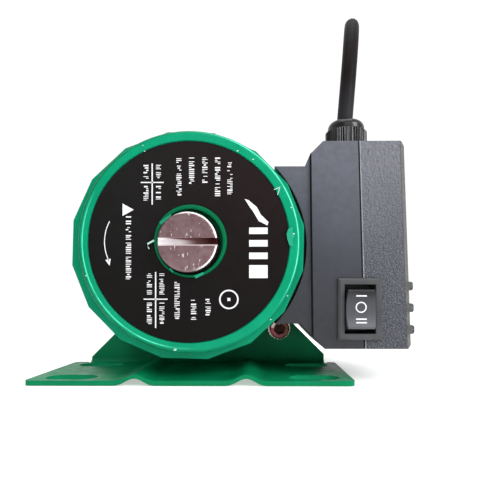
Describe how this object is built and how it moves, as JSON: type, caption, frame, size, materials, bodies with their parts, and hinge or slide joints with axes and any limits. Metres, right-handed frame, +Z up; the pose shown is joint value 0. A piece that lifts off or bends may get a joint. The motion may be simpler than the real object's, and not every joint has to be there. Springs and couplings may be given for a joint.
{
  "type": "centrifugal water pump",
  "caption": "Canned-motor centrifugal circulation pump with green housing, pressed foot, side terminal box with rocker switch, gland and mains cord.",
  "frame": {"origin": "centre of the four foot slots at the underside of the foot plate", "axes": "+Z up, +Y along the motor axis from the name plate end towards the pump end, +X to the right seen from the name plate end"},
  "size_m": [0.1587, 0.2185, 0.1857],
  "materials": {
    "green_paint": "semi-gloss enamel over cast or pressed metal",
    "green_sheet": "semi-gloss enamel on pressed steel sheet",
    "casing_iron": "green enamel on grey cast iron",
    "label_film": "printed film, satin",
    "plug_metal": "nickel-plated brass, turned face",
    "seal_rubber": "moulded",
    "lamination": "varnished electrical steel",
    "copper_wire": "enamelled copper",
    "stainless": "stainless, satin",
    "ceramic": "ground",
    "carbon": "graphite",
    "rotor_sleeve": "stainless, satin",
    "impeller_plastic": "glass-filled engineering plastic",
    "gasket_fibre": "pressed fibre",
    "zinc_yellow": "yellow zinc plating",
    "zinc_bright": "bright zinc plating",
    "box_base_plastic": "smooth moulding",
    "box_cover_plastic": "spark-eroded grain",
    "switch_plastic": "satin",
    "rocker_plastic": "satin, white printed marks",
    "contact_brass": "tinned brass",
    "capacitor_case": "smooth case",
    "block_plastic": "moulding",
    "wire_sheath": "soft insulation",
    "gland_nylon": "polished nylon",
    "cord_sheath": "satin flexible sheath",
    "plug_plastic": "moulded on",
    "pin_metal": "nickel-plated brass"
  },
  "bodies": {
    "frame": {"foot_bracket": "green_sheet", "motor_housing": "green_paint", "nameplate": "label_film", "stator_core": "lamination", "stator_windings": "copper_wire", "rotor_can": "stainless", "can_o_ring": "seal_rubber", "front_bearing": "carbon", "rear_bearing": "carbon", "bearing_plate": "stainless", "wear_ring": "stainless", "volute_casing": "casing_iron", "housing_gasket": "gasket_fibre", "flange_bolts": "zinc_yellow", "lock_washers": "zinc_bright", "box_base": "box_base_plastic", "box_cover": "box_cover_plastic", "cover_screws": "zinc_bright", "switch_housing": "switch_plastic", "switch_terminals": "contact_brass", "capacitor": "capacitor_case", "capacitor_clip": "stainless", "terminal_block": "block_plastic", "terminal_screws": "contact_brass", "motor_leads": "wire_sheath", "supply_leads": "wire_sheath", "gland_body": "gland_nylon", "gland_locknut": "gland_nylon", "gland_seal": "seal_rubber", "cord_inlet": "cord_sheath", "gland_nut": "gland_nylon", "power_cord": "cord_sheath", "cord_coil": "cord_sheath", "mains_plug": "plug_plastic", "plug_pins": "pin_metal"},
    "rotor": {"rotor_shaft": "ceramic", "rotor_core": "rotor_sleeve", "thrust_washer": "ceramic", "impeller": "impeller_plastic", "impeller_nut": "stainless"},
    "plug_seal": {"vent_plug_seal": "seal_rubber"},
    "vent_plug": {"vent_plug": "plug_metal"},
    "rocker": {"switch_rocker": "rocker_plastic"}
  },
  "joints": [
    {"name": "rotor_spin", "type": "hinge", "parent": "frame", "child": "rotor", "pos_m": [0, 0.02, 0.057], "axis": [0, 1, 0], "continuous": true},
    {"name": "vent_plug_lift", "type": "slide", "parent": "frame", "child": "plug_seal", "axis": [0, -1, 0], "range_m": [0, 0.0045]},
    {"name": "vent_plug_turn", "type": "hinge", "parent": "plug_seal", "child": "vent_plug", "pos_m": [-0.00055, -0.022, 0.057], "axis": [0, -1, 0], "range_deg": [0, 1080]},
    {"name": "switch_rock", "type": "hinge", "parent": "frame", "child": "rocker", "pos_m": [0.0689, -0.0136, 0.0305], "axis": [1, 0, 0], "range_deg": [-10, 10]}
  ],
  "couplings": [
    {"joint": "vent_plug_turn", "follows": "vent_plug_lift", "rad_per_m": 4188.8}
  ]
}
